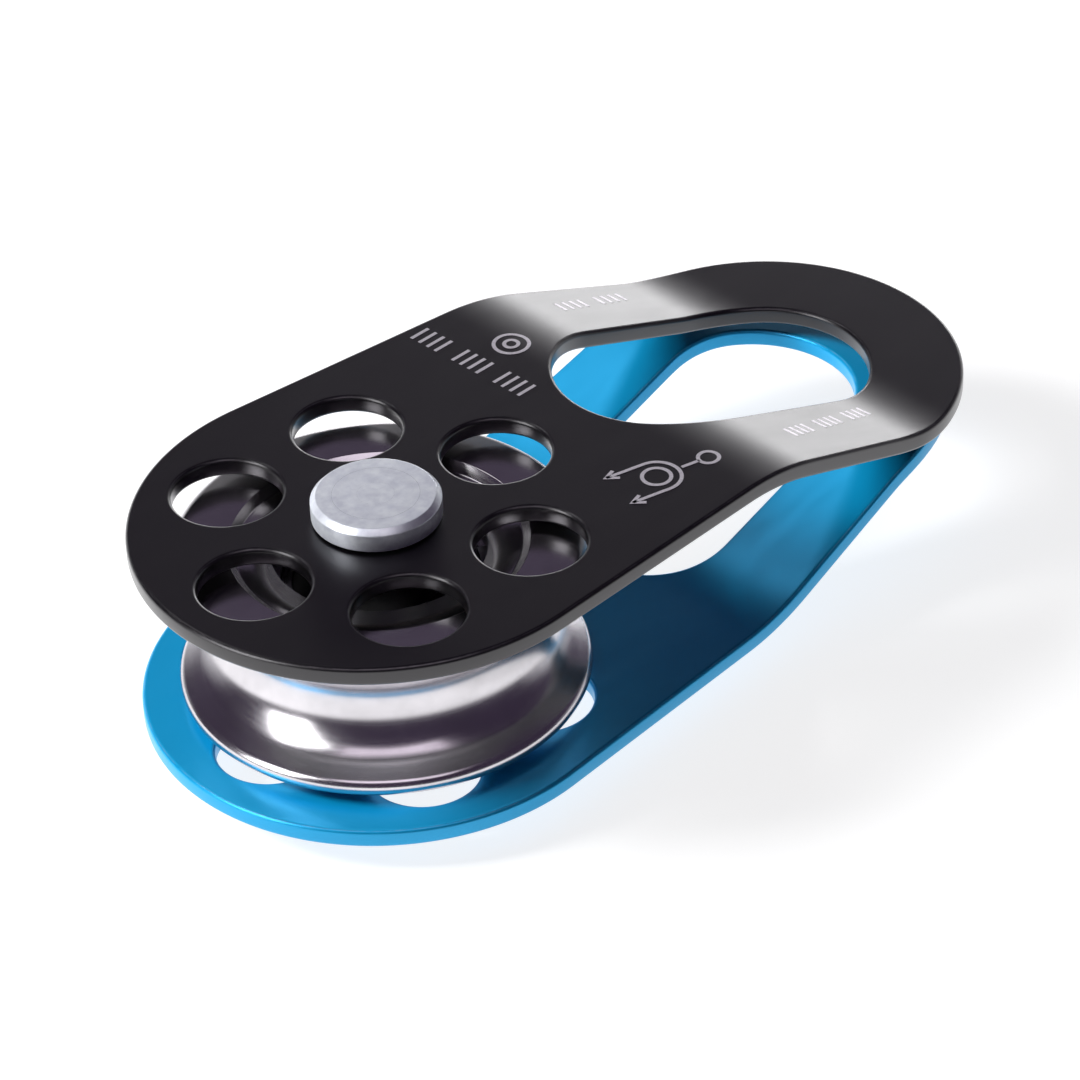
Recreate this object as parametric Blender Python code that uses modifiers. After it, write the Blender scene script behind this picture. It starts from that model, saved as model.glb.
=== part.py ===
"""Swing-cheek rope pulley: two bent cheek plates on an axle pin, with a ball-bearing sheave between.

Sizes are in metres. The origin is the centre of the axle pin's rear end face. +Z runs along the
pin towards its front head, and +X runs from the pin towards the carabiner eye.
"""

import math

import bmesh
import bpy

# Sheave
SHEAVE_RADIUS = 0.0252
SHEAVE_WIDTH = 0.0196
GROOVE_DEPTH = 0.0062
GROOVE_RADIUS = 0.0075
GROOVE_WRAP = math.radians(62)
HUB_RECESS_DEPTH = 0.0010
HUB_RECESS_RADIUS = 0.0172
BEARING_SHOULDER_HEIGHT = 0.0011

# Ball bearing
BALL_COUNT = 7
BALL_RADIUS = 0.00238
INNER_RACE_WALL = 0.00142
OUTER_RACE_WALL = 0.00152
RACE_SHOULDER_OFFSET = 0.0018
CAGE_WALL = 0.0012
CAGE_FLOOR_WEB = 0.00037
CAGE_PRONG_HEIGHT = 0.0010
SEAL_THICKNESS = 0.0006
SEAL_INSET = 0.00015

# Retaining ring that holds the bearing in the sheave
CLIP_THICKNESS = 0.0010
CLIP_WIDTH = 0.0018
CLIP_SEAT_DEPTH = 0.0009
CLIP_MOUTH_ANGLE = math.radians(50)

# Axle pin, its swaged rear collar, spacers and thrust washers
PIN_RADIUS = 0.0050
PIN_TAIL_RADIUS = 0.0040
HEAD_RADIUS = 0.0079
HEAD_THICKNESS = 0.0030
HEAD_CHAMFER = 0.0007
SPACER_WALL = 0.0028
WASHER_THICKNESS = 0.0005
WASHER_RADIUS = 0.0098

# Cheek plates
PLATE_THICKNESS = 0.0024
CHEEK_OVERHANG = 0.0048
EYE_END_RADIUS = 0.0254
EYE_END_REACH = 0.0352
EYE_WALL = 0.0120
EYE_SLOT_TRAVEL = 0.0187
EYE_END_GAP = 0.0022
BEND_START_REACH = 0.0107
BEND_END_BACKSET = 0.0035
BEND_BLEND = 0.0054
HOLE_COUNT = 6
HOLE_RADIUS = 0.00675
HOLE_RIM_OFFSET = 0.0061
REAR_CHEEK_SWING = math.radians(2.2)

# Clearances
SHEAVE_SIDE_CLEARANCE = 0.00095
RUNNING_CLEARANCE = 0.0001
SEATING_GAP = 0.0003
POCKET_CLEARANCE = 0.00015
CAGE_SEAL_GAP = 0.00025

# Smoothness of round shapes
TURN_STEPS = 48
CLIP_STEPS = 36
BALL_RINGS = 6
POCKET_SIDES = 16

# Places that follow from the sizes above
CHEEK_INNER_Z = SHEAVE_WIDTH / 2 + SHEAVE_SIDE_CLEARANCE
CHEEK_OUTER_Z = CHEEK_INNER_Z + PLATE_THICKNESS
HEAD_INNER_Z = CHEEK_OUTER_Z + SEATING_GAP
HEAD_OUTER_Z = HEAD_INNER_Z + HEAD_THICKNESS
MID_PLANE_Z = HEAD_OUTER_Z
PIN_BORE_RADIUS = PIN_RADIUS + RUNNING_CLEARANCE
WHEEL_END_RADIUS = SHEAVE_RADIUS + CHEEK_OVERHANG
EYE_END_X = WHEEL_END_RADIUS + EYE_END_REACH
EYE_SLOT_RADIUS = EYE_END_RADIUS - EYE_WALL
BEND_START_X = WHEEL_END_RADIUS + BEND_START_REACH
BEND_END_X = EYE_END_X + BEND_END_BACKSET
HOLE_CIRCLE_RADIUS = SHEAVE_RADIUS - HOLE_RIM_OFFSET
TREAD_RADIUS = SHEAVE_RADIUS - GROOVE_DEPTH
RACE_RADIUS = BALL_RADIUS + RUNNING_CLEARANCE
POCKET_RADIUS = RACE_RADIUS + POCKET_CLEARANCE
CAGE_FLOOR_DEPTH = POCKET_RADIUS + CAGE_FLOOR_WEB
BALL_PITCH_RADIUS = PIN_BORE_RADIUS + INNER_RACE_WALL + RACE_RADIUS
BEARING_RADIUS = BALL_PITCH_RADIUS + RACE_RADIUS + OUTER_RACE_WALL
BEARING_WIDTH = 2 * (CAGE_FLOOR_DEPTH + CAGE_SEAL_GAP + SEAL_THICKNESS + SEAL_INSET)
BEARING_SEAT_RADIUS = BEARING_RADIUS + RUNNING_CLEARANCE
BEARING_SEAT_HALF = BEARING_WIDTH / 2 + SEATING_GAP
INNER_SHOULDER_RADIUS = BALL_PITCH_RADIUS - RACE_SHOULDER_OFFSET
OUTER_SHOULDER_RADIUS = BALL_PITCH_RADIUS + RACE_SHOULDER_OFFSET

parts = bpy.data.collections.new("rope_pulley")
helpers = bpy.data.collections.new("cutters")


def clear_scene():
    for obj in list(bpy.data.objects):
        bpy.data.objects.remove(obj)
    bpy.context.scene.collection.children.link(parts)
    bpy.context.scene.collection.children.link(helpers)


def principled(name, colour, roughness, metallic):
    """A plain material: linear base colour, roughness and metallic value."""
    material = bpy.data.materials.new(name)
    material.use_nodes = True
    shader = material.node_tree.nodes["Principled BSDF"]
    shader.inputs["Base Color"].default_value = (*colour, 1)
    shader.inputs["Roughness"].default_value = roughness
    shader.inputs["Metallic"].default_value = metallic
    return material


def arc(centre, radius, start, end, steps):
    """Points on a circle from the start angle to the end angle, both included."""
    turns = [start + (end - start) * step / steps for step in range(steps + 1)]
    return [
        (centre[0] + radius * math.cos(turn), centre[1] + radius * math.sin(turn))
        for turn in turns
    ]


def circle(centre, radius, steps):
    """A closed loop: the arc's last point would repeat its first."""
    return arc(centre, radius, 0, 2 * math.pi, steps)[:-1]


def fresh_object(name, mesh, collection):
    obj = bpy.data.objects.new(name, mesh)
    collection.objects.link(obj)
    return obj


def evaluated_mesh(obj):
    """A new mesh with the object's modifiers applied, or its curve filled."""
    graph = bpy.context.evaluated_depsgraph_get()
    return bpy.data.meshes.new_from_object(obj.evaluated_get(graph))


def bake(obj):
    """Puts the evaluated mesh on the object, shaded smooth up to a sharp edge."""
    mesh = evaluated_mesh(obj)
    obj.modifiers.clear()
    obj.data = mesh
    mesh.shade_smooth()
    mesh.set_sharp_from_angle(angle=math.radians(32))


def place(obj, material, height=MID_PLANE_Z, turn=(0, 0, 0)):
    """Sets the piece on the pin's axis at this height and gives it its material."""
    obj.location = (0, 0, height)
    obj.rotation_euler = turn
    if not obj.data.materials:
        obj.data.materials.append(None)
    obj.material_slots[0].link = "OBJECT"
    obj.material_slots[0].material = material
    return obj


def turned(name, profile, closed=True, sweep=2 * math.pi, steps=TURN_STEPS):
    """A solid of revolution: (radius, height) points down the outer side, then up the inner one."""
    mesh = bpy.data.meshes.new(name)
    corners = [(radius, 0, height) for radius, height in profile]
    count = len(corners)
    edges = [(index, (index + 1) % count) for index in range(count if closed else count - 1)]
    mesh.from_pydata(corners, edges, [])
    obj = fresh_object(name, mesh, parts)
    screw = obj.modifiers.new("Turn", "SCREW")
    screw.axis = "Z"
    screw.angle = sweep
    screw.steps = screw.render_steps = steps
    screw.use_merge_vertices = True
    screw.merge_threshold = 0.000001
    bake(obj)
    return obj


def ring(name, inner, outer, low, high):
    """A plain washer or sleeve with square edges."""
    return turned(name, [(inner, high), (outer, high), (outer, low), (inner, low)])


def flat_prism(name, loops, half_height):
    """A flat outline with holes, made by a filled 2D curve, as a closed mesh about z = 0."""
    curve = bpy.data.curves.new(name, "CURVE")
    curve.dimensions = "2D"
    curve.fill_mode = "BOTH"
    curve.extrude = half_height
    for loop in loops:
        spline = curve.splines.new("POLY")
        spline.points.add(len(loop) - 1)
        spline.use_cyclic_u = True
        for point, (x, y) in zip(spline.points, loop):
            point.co = (x, y, 0, 1)
    drawn = fresh_object(name + "_curve", curve, helpers)
    mesh = evaluated_mesh(drawn)
    bpy.data.objects.remove(drawn)
    shape = bmesh.new()
    shape.from_mesh(mesh)
    bmesh.ops.remove_doubles(shape, verts=shape.verts, dist=0.000001)
    bmesh.ops.recalc_face_normals(shape, faces=shape.faces)
    shape.to_mesh(mesh)
    shape.free()
    return as_cutter(fresh_object(name, mesh, helpers))


def as_cutter(obj):
    obj.hide_render = True
    obj.display_type = "WIRE"
    return obj


def boolean(obj, cutter, operation):
    step = obj.modifiers.new(operation.title(), "BOOLEAN")
    step.operation = operation
    step.object = cutter
    return step


# ---------------------------------------------------------------- cheek plates


def smooth_ramp(x):
    """0 before the bend, 1 after it, straight between, with a parabola over each corner."""

    def rounded(past):
        if past < -BEND_BLEND:
            return 0
        if past > BEND_BLEND:
            return past
        return (past + BEND_BLEND) ** 2 / (4 * BEND_BLEND)

    rise = rounded(x - BEND_START_X) - rounded(x - BEND_END_X)
    return rise / (BEND_END_X - BEND_START_X)


def plate_height(x):
    """Height of the front plate's middle surface over the mid-plane at this distance along it."""
    wheel_end = CHEEK_INNER_Z + PLATE_THICKNESS / 2
    eye_end = EYE_END_GAP / 2 + PLATE_THICKNESS / 2
    return wheel_end + (eye_end - wheel_end) * smooth_ramp(x)


def bend_stations():
    """Distances at which the plate's bent strip has a crease: its ends and round both bends."""
    margin = PLATE_THICKNESS
    corners = []
    for bend in (BEND_START_X, BEND_END_X):
        corners += [bend + BEND_BLEND * share for share in (-1, -0.6, -0.2, 0.2, 0.6, 1)]
    tip = EYE_END_X + EYE_END_RADIUS
    return [-WHEEL_END_RADIUS - margin, *corners, tip + margin]


def bent_strip():
    """An open strip that follows the bend, given its thickness by Solidify."""
    half_width = WHEEL_END_RADIUS + PLATE_THICKNESS
    shape = bmesh.new()
    row = [shape.verts.new((x, -half_width, plate_height(x))) for x in bend_stations()]
    edges = [shape.edges.new(pair) for pair in zip(row, row[1:])]
    made = bmesh.ops.extrude_edge_only(shape, edges=edges)["geom"]
    far_row = [item for item in made if isinstance(item, bmesh.types.BMVert)]
    bmesh.ops.translate(shape, verts=far_row, vec=(0, 2 * half_width, 0))
    mesh = bpy.data.meshes.new("cheek_plate")
    shape.to_mesh(mesh)
    shape.free()
    strip = fresh_object("front_cheek", mesh, parts)
    wall = strip.modifiers.new("Plate", "SOLIDIFY")
    wall.thickness = PLATE_THICKNESS
    wall.offset = 0
    wall.use_even_offset = True
    return strip


def plate_outline():
    """The two end arcs, joined by the straight lines that touch both."""
    lean = math.acos((WHEEL_END_RADIUS - EYE_END_RADIUS) / EYE_END_X)
    wheel_end = arc((0, 0), WHEEL_END_RADIUS, lean, 2 * math.pi - lean, 40)
    eye_end = arc((EYE_END_X, 0), EYE_END_RADIUS, -lean, lean, 32)
    return wheel_end + eye_end


def eye_outline():
    """A round-ended slot, concentric with the plate's eye end."""
    near_x = EYE_END_X - EYE_SLOT_TRAVEL
    near_end = arc((near_x, 0), EYE_SLOT_RADIUS, math.pi / 2, 3 * math.pi / 2, 18)
    far_end = arc((EYE_END_X, 0), EYE_SLOT_RADIUS, -math.pi / 2, math.pi / 2, 18)
    return near_end + far_end


def lightening_holes():
    turns = [2 * math.pi * index / HOLE_COUNT for index in range(HOLE_COUNT)]
    return [
        circle(
            (HOLE_CIRCLE_RADIUS * math.cos(turn), HOLE_CIRCLE_RADIUS * math.sin(turn)),
            HOLE_RADIUS,
            24,
        )
        for turn in turns
    ]


def make_cheeks(front_finish, rear_finish):
    """Two like plates: the rear one is turned over, and stands a little open from the front one."""
    bore = circle((0, 0), PIN_BORE_RADIUS, TURN_STEPS)
    loops = [plate_outline(), eye_outline(), *lightening_holes(), bore]
    front = bent_strip()
    boolean(front, flat_prism("cheek_plan", loops, CHEEK_OUTER_Z + PLATE_THICKNESS), "INTERSECT")
    bake(front)
    rear = fresh_object("rear_cheek", front.data, parts)
    place(front, front_finish)
    place(rear, rear_finish, turn=(math.pi, 0, REAR_CHEEK_SWING))


# ---------------------------------------------------------------- sheave


def rim_round():
    """Radius that touches the side face, the rim and the groove's flank all at once."""
    flank_start = (
        TREAD_RADIUS + GROOVE_RADIUS * (1 - math.cos(GROOVE_WRAP)),
        GROOVE_RADIUS * math.sin(GROOVE_WRAP),
    )
    across = math.sin(GROOVE_WRAP) * (SHEAVE_WIDTH / 2 - flank_start[1])
    along = math.cos(GROOVE_WRAP) * (SHEAVE_RADIUS - flank_start[0])
    return (across - along) / (1 + math.sin(GROOVE_WRAP) - math.cos(GROOVE_WRAP))


def sheave_outer_side():
    """Front rim, rope groove and rear rim, from the front side face to the rear one."""
    radius = rim_round()
    rim_r = SHEAVE_RADIUS - radius
    rim_z = SHEAVE_WIDTH / 2 - radius
    front_rim = arc((rim_r, rim_z), radius, math.pi / 2, -GROOVE_WRAP, 6)
    groove = arc(
        (TREAD_RADIUS + GROOVE_RADIUS, 0),
        GROOVE_RADIUS,
        math.pi - GROOVE_WRAP,
        math.pi + GROOVE_WRAP,
        10,
    )
    rear_rim = [(r, -z) for r, z in reversed(front_rim)]
    return front_rim + groove + rear_rim


def clip_seat():
    """Low height, high height and radius of the retaining ring's groove in the sheave."""
    low = BEARING_SEAT_HALF
    high = low + CLIP_THICKNESS + SEATING_GAP
    return low, high, BEARING_SEAT_RADIUS + CLIP_SEAT_DEPTH


def make_sheave(finish):
    """The grooved wheel, with a hub recess each side, a bearing seat and a retaining ring groove."""
    side = SHEAVE_WIDTH / 2
    hub = side - HUB_RECESS_DEPTH
    recess = HUB_RECESS_RADIUS
    slope = recess + HUB_RECESS_DEPTH
    shoulder = BEARING_SEAT_RADIUS - BEARING_SHOULDER_HEIGHT
    seat_low, seat_high, seat_radius = clip_seat()
    front_face = [(BEARING_SEAT_RADIUS, hub), (recess, hub), (slope, side)]
    rear_face = [(slope, -side), (recess, -hub), (shoulder, -hub)]
    bore = [
        (shoulder, -BEARING_SEAT_HALF),
        (BEARING_SEAT_RADIUS, -BEARING_SEAT_HALF),
        (BEARING_SEAT_RADIUS, seat_low),
        (seat_radius, seat_low),
        (seat_radius, seat_high),
        (BEARING_SEAT_RADIUS, seat_high),
    ]
    place(turned("sheave", front_face + sheave_outer_side() + rear_face + bore), finish)


def make_retaining_ring(finish):
    """An open spring ring in its groove, against the bearing's front face."""
    low, high, seat_radius = clip_seat()
    outer = seat_radius - RUNNING_CLEARANCE
    inner = outer - CLIP_WIDTH
    bottom = (low + high - CLIP_THICKNESS) / 2
    top = bottom + CLIP_THICKNESS
    section = [(inner, top), (outer, top), (outer, bottom), (inner, bottom)]
    sweep = 2 * math.pi - CLIP_MOUTH_ANGLE
    clip = turned("retaining_ring", section, sweep=sweep, steps=CLIP_STEPS)
    cap_ends(clip.data)
    place(clip, finish, turn=(0, 0, CLIP_MOUTH_ANGLE / 2))


def cap_ends(mesh):
    """Closes the two open sections of a part-turn sweep."""
    shape = bmesh.new()
    shape.from_mesh(mesh)
    open_edges = [edge for edge in shape.edges if edge.is_boundary]
    bmesh.ops.edgeloop_fill(shape, edges=open_edges)
    bmesh.ops.recalc_face_normals(shape, faces=shape.faces)
    shape.to_mesh(mesh)
    shape.free()


# ---------------------------------------------------------------- ball bearing


def race(direction):
    """The ball groove's arc: direction is +1 on the inner ring and -1 on the outer ring."""
    reach = math.acos(RACE_SHOULDER_OFFSET / RACE_RADIUS)
    if direction > 0:
        return arc((BALL_PITCH_RADIUS, 0), RACE_RADIUS, math.pi - reach, math.pi + reach, 6)
    return arc((BALL_PITCH_RADIUS, 0), RACE_RADIUS, -reach, reach, 6)


def make_bearing_rings(finish):
    half = BEARING_WIDTH / 2
    inner = [
        (PIN_BORE_RADIUS, half),
        (INNER_SHOULDER_RADIUS, half),
        *race(1),
        (INNER_SHOULDER_RADIUS, -half),
        (PIN_BORE_RADIUS, -half),
    ]
    outer = [
        (OUTER_SHOULDER_RADIUS, half),
        (BEARING_RADIUS, half),
        (BEARING_RADIUS, -half),
        (OUTER_SHOULDER_RADIUS, -half),
        *race(-1),
    ]
    place(turned("bearing_inner_ring", inner), finish)
    place(turned("bearing_outer_ring", outer), finish)


def ball_angles():
    return [2 * math.pi * index / BALL_COUNT for index in range(BALL_COUNT)]


def make_balls(finish):
    shape = bmesh.new()
    bmesh.ops.create_uvsphere(
        shape, u_segments=2 * BALL_RINGS, v_segments=BALL_RINGS, radius=BALL_RADIUS
    )
    mesh = bpy.data.meshes.new("bearing_ball")
    shape.to_mesh(mesh)
    shape.free()
    mesh.shade_smooth()
    for number, turn in enumerate(ball_angles(), start=1):
        ball = fresh_object(f"bearing_ball_{number}", mesh, parts)
        place(ball, finish, turn=(0, 0, turn))
        ball.location.x = BALL_PITCH_RADIUS * math.cos(turn)
        ball.location.y = BALL_PITCH_RADIUS * math.sin(turn)


def make_cage(finish):
    """A crown cage: a ring whose round pockets are open towards the front."""
    inner = BALL_PITCH_RADIUS - CAGE_WALL / 2
    outer = BALL_PITCH_RADIUS + CAGE_WALL / 2
    cage = ring("bearing_cage", inner, outer, -CAGE_FLOOR_DEPTH, CAGE_PRONG_HEIGHT)
    for number, turn in enumerate(ball_angles(), start=1):
        boolean(cage, pocket_cutter(f"pocket_{number}", turn), "DIFFERENCE")
    bake(cage)
    place(cage, finish)


def pocket_cutter(name, turn):
    """A round bar that points outwards through one ball's place in the cage."""
    shape = bmesh.new()
    bmesh.ops.create_cone(
        shape,
        cap_ends=True,
        segments=POCKET_SIDES,
        radius1=POCKET_RADIUS,
        radius2=POCKET_RADIUS,
        depth=6 * CAGE_WALL,
    )
    mesh = bpy.data.meshes.new(name)
    shape.to_mesh(mesh)
    shape.free()
    cutter = as_cutter(fresh_object(name, mesh, helpers))
    cutter.location.x = BALL_PITCH_RADIUS * math.cos(turn)
    cutter.location.y = BALL_PITCH_RADIUS * math.sin(turn)
    cutter.rotation_euler = (0, math.pi / 2, turn)
    return cutter


def make_seals(finish):
    """A thin lip seal just inside each face of the bearing."""
    inner = INNER_SHOULDER_RADIUS + RUNNING_CLEARANCE
    outer = OUTER_SHOULDER_RADIUS - RUNNING_CLEARANCE
    high = BEARING_WIDTH / 2 - SEAL_INSET
    low = high - SEAL_THICKNESS
    place(ring("bearing_front_seal", inner, outer, low, high), finish)
    place(ring("bearing_rear_seal", inner, outer, -high, -low), finish)


# ---------------------------------------------------------------- axle


def make_axle_pin(finish):
    """The pin with its round front head. Its thinner tail is swaged flush with the rear collar."""
    tail_z = -CHEEK_INNER_Z - PLATE_THICKNESS - SEATING_GAP / 2
    profile = [
        (0, HEAD_OUTER_Z),
        (HEAD_RADIUS - HEAD_CHAMFER, HEAD_OUTER_Z),
        (HEAD_RADIUS, HEAD_OUTER_Z - HEAD_CHAMFER),
        (HEAD_RADIUS, HEAD_INNER_Z),
        (PIN_RADIUS, HEAD_INNER_Z),
        (PIN_RADIUS, tail_z),
        (PIN_TAIL_RADIUS, tail_z),
        (PIN_TAIL_RADIUS, -HEAD_OUTER_Z),
        (0, -HEAD_OUTER_Z),
    ]
    place(turned("axle_pin", profile, closed=False), finish)


def make_rear_collar(finish):
    """The disc on the pin's tail that mirrors the front head."""
    bore = PIN_TAIL_RADIUS + RUNNING_CLEARANCE
    profile = [
        (bore, -HEAD_INNER_Z),
        (HEAD_RADIUS, -HEAD_INNER_Z),
        (HEAD_RADIUS, -HEAD_OUTER_Z + HEAD_CHAMFER),
        (HEAD_RADIUS - HEAD_CHAMFER, -HEAD_OUTER_Z),
        (bore, -HEAD_OUTER_Z),
    ]
    place(turned("rear_collar", profile), finish)


def make_spacers_and_washers(spacer_finish, washer_finish):
    """A sleeve each side of the bearing's inner ring, then a thrust washer against the cheek."""
    washer_high = CHEEK_INNER_Z - SEATING_GAP
    washer_low = washer_high - WASHER_THICKNESS
    sleeve_high = washer_low - SEATING_GAP
    sleeve_low = BEARING_WIDTH / 2 + SEATING_GAP
    sleeve_radius = min(PIN_BORE_RADIUS + SPACER_WALL, WASHER_RADIUS)
    for side, name in ((1, "front"), (-1, "rear")):
        sleeve = sorted((side * sleeve_low, side * sleeve_high))
        washer = sorted((side * washer_low, side * washer_high))
        place(ring(f"{name}_spacer", PIN_BORE_RADIUS, sleeve_radius, *sleeve), spacer_finish)
        place(
            ring(f"{name}_thrust_washer", PIN_BORE_RADIUS, WASHER_RADIUS, *washer),
            washer_finish,
        )


def main():
    clear_scene()
    black_anodised = principled("black_anodised", (0.023, 0.018, 0.027), 0.35, 0.6)
    blue_anodised = principled("blue_anodised", (0.01, 0.30, 0.72), 0.35, 0.6)
    polished_steel = principled("polished_steel", (0.62, 0.60, 0.63), 0.12, 1.0)
    satin_steel = principled("satin_steel", (0.55, 0.56, 0.60), 0.35, 1.0)
    bearing_steel = principled("bearing_steel", (0.50, 0.50, 0.52), 0.2, 1.0)
    seal_rubber = principled("seal_rubber", (0.02, 0.02, 0.02), 0.7, 0.0)
    nylon = principled("nylon", (0.75, 0.73, 0.68), 0.5, 0.0)
    make_cheeks(black_anodised, blue_anodised)
    make_sheave(polished_steel)
    make_retaining_ring(satin_steel)
    make_bearing_rings(bearing_steel)
    make_balls(bearing_steel)
    make_cage(nylon)
    make_seals(seal_rubber)
    make_axle_pin(satin_steel)
    make_rear_collar(satin_steel)
    make_spacers_and_washers(satin_steel, nylon)


main()
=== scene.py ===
"""Finished surfaces and stage for a swing-cheek rope pulley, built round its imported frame.

The file is laid out as an add-on: property groups hold the sizes and finishes, one operator makes
each group of pieces, and main() calls them in order. Everything is in metres. The pin's axis is
the Z axis and +X runs from the pin towards the carabiner eye.
"""

import functools
import math

import bpy
import numpy as np
from bpy.props import FloatProperty, FloatVectorProperty, IntProperty, PointerProperty
from mathutils import Matrix, Vector
from mathutils.geometry import delaunay_2d_cdt


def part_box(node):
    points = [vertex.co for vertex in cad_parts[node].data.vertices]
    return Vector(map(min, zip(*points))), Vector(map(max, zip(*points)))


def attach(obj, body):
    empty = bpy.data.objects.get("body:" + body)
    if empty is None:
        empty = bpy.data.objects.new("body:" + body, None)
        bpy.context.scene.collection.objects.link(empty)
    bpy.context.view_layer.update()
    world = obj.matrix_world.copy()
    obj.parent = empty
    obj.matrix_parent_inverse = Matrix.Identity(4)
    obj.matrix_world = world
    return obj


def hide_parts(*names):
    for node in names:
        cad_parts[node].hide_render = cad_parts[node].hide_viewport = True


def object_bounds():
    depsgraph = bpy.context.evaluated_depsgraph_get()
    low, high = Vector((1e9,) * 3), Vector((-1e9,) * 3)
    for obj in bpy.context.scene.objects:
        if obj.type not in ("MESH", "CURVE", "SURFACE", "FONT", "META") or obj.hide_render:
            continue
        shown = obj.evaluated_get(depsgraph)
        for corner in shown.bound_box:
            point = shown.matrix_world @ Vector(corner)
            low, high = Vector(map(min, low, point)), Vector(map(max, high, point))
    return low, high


bl_info = {
    "name": "Rope pulley",
    "version": (1, 0, 0),
    "blender": (4, 5, 0),
    "location": "3D View > Sidebar > Rope pulley",
    "description": "Makes the finished surfaces of a swing-cheek rope pulley",
    "category": "Add Mesh",
}

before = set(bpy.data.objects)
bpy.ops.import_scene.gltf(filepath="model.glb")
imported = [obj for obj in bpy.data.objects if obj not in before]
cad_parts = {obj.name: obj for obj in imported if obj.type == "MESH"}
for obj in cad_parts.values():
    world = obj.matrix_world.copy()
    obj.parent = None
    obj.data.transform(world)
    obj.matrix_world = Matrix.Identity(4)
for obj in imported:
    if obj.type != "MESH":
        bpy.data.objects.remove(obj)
CAD_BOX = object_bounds()

WHEEL_LOW, WHEEL_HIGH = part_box("sheave")
CHEEK_LOW, CHEEK_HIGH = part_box("front_cheek")
PIN_LOW, PIN_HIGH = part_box("axle_pin")
COLLAR_LOW, COLLAR_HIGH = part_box("rear_collar")
MID_Z = (WHEEL_LOW.z + WHEEL_HIGH.z) / 2
FULL_TURN = 2 * math.pi

# Seats and clearances, the same as on the plain parts of the frame
RUNNING_FIT = 0.0001
SEAT_END_GAP = 0.0003
SHOULDER_HEIGHT = 0.0011
CLIP_GAP = 0.00015
CLIP_SEAT_DEPTH = 0.0009
COLLAR_GAP = 0.00015


# ---------------------------------------------------------------- sizes and finishes


def length(name, default, description):
    return FloatProperty(
        name=name, default=default, min=0, description=description, subtype="DISTANCE", unit="LENGTH"
    )


def angle(name, default, description):
    return FloatProperty(
        name=name, default=default, description=description, subtype="ANGLE", unit="ROTATION"
    )


def colour(name, default, description):
    return FloatVectorProperty(
        name=name, default=default, description=description, size=3, min=0, max=1, subtype="COLOR"
    )


def amount(name, default, description):
    return FloatProperty(name=name, default=default, min=0, description=description)


class CheekSettings(bpy.types.PropertyGroup):
    """Shape of the two bent cheek plates."""

    thickness: length("Thickness", 0.0024, "Thickness of each plate")
    eye_end_radius: length("Eye end radius", 0.0254, "Radius of the plate's narrow end")
    eye_wall: length("Eye wall", 0.0120, "Metal left round the carabiner eye")
    eye_travel: length("Eye travel", 0.0187, "Distance between the centres of the eye's two ends")
    bend_start: length("Bend start", 0.0407, "Distance from the pin to the first bend")
    bend_end: length("Bend end", 0.0687, "Distance from the pin to the second bend")
    bend_blend: length("Bend blend", 0.0054, "Half the length over which each bend turns")
    hole_radius: length("Hole radius", 0.00675, "Radius of each lightening hole")
    hole_circle: length("Hole circle", 0.0191, "Radius of the circle that the holes stand on")
    hole_count: IntProperty(
        name="Hole count", default=6, min=3, description="Number of lightening holes"
    )
    bore_radius: length("Bore radius", 0.0051, "Radius of the hole for the axle pin")
    edge_round: length("Edge round", 0.00055, "Radius of the tumbled edges")
    rear_swing: angle("Rear swing", math.radians(2.2), "How far the rear cheek stands open")


class WheelSettings(bpy.types.PropertyGroup):
    """Shape of the sheave."""

    tread_radius: length("Tread radius", 0.0190, "Radius at the bottom of the rope groove")
    groove_radius: length("Groove radius", 0.0075, "Radius of the rope groove's round bottom")
    groove_wrap: angle("Groove wrap", math.radians(62), "Half of the groove's round part")
    recess_radius: length("Recess radius", 0.0172, "Radius of the shallow recess in each side")
    recess_depth: length("Recess depth", 0.0010, "Depth of the shallow recess in each side")
    edge_round: length("Edge round", 0.00025, "Radius of the sheave's small edges")


class AxleSettings(bpy.types.PropertyGroup):
    """Shape of the axle pin's head and of the collar."""

    pin_radius: length("Pin radius", 0.0050, "Radius of the pin between its heads")
    tail_radius: length("Tail radius", 0.0040, "Radius of the pin's tail in the collar")
    head_thickness: length("Head thickness", 0.0030, "Thickness of the front head and collar")
    chamfer: length("Chamfer", 0.0007, "Width of the chamfer round each head")
    edge_round: length("Edge round", 0.00022, "Radius that softens the heads' edges")


class FinishSettings(bpy.types.PropertyGroup):
    """Colours and roughness of the finishes."""

    black: colour("Black anodising", (0.005, 0.0035, 0.0065), "Colour of the front cheek")
    blue: colour("Blue anodising", (0.003, 0.36, 0.70), "Colour of the rear cheek")
    bare: colour("Bare aluminium", (0.62, 0.62, 0.64), "Metal that shows where an edge is worn")
    polish: colour("Polished metal", (0.72, 0.70, 0.73), "Colour of the sheave")
    satin: colour("Satin steel", (0.84, 0.88, 0.98), "Colour of the pin's head")
    etch: colour("Etched marks", (0.78, 0.75, 0.80), "Colour of the etched marks")
    spacer: colour("Spacer steel", (0.50, 0.50, 0.52), "Colour of the spacers")
    ground: colour("Ground steel", (0.55, 0.55, 0.57), "Colour of the bearing rings and balls")
    spring: colour("Spring steel", (0.20, 0.20, 0.22), "Colour of the retaining ring")
    nylon: colour("White nylon", (0.75, 0.73, 0.68), "Colour of the washers and the ball cage")
    rubber: colour("Seal rubber", (0.02, 0.02, 0.02), "Colour of the bearing's seals")
    cheek_roughness: amount("Cheek roughness", 0.30, "Roughness of the anodised plates")
    polish_roughness: amount("Polish roughness", 0.19, "Roughness of the polished sheave")


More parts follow.
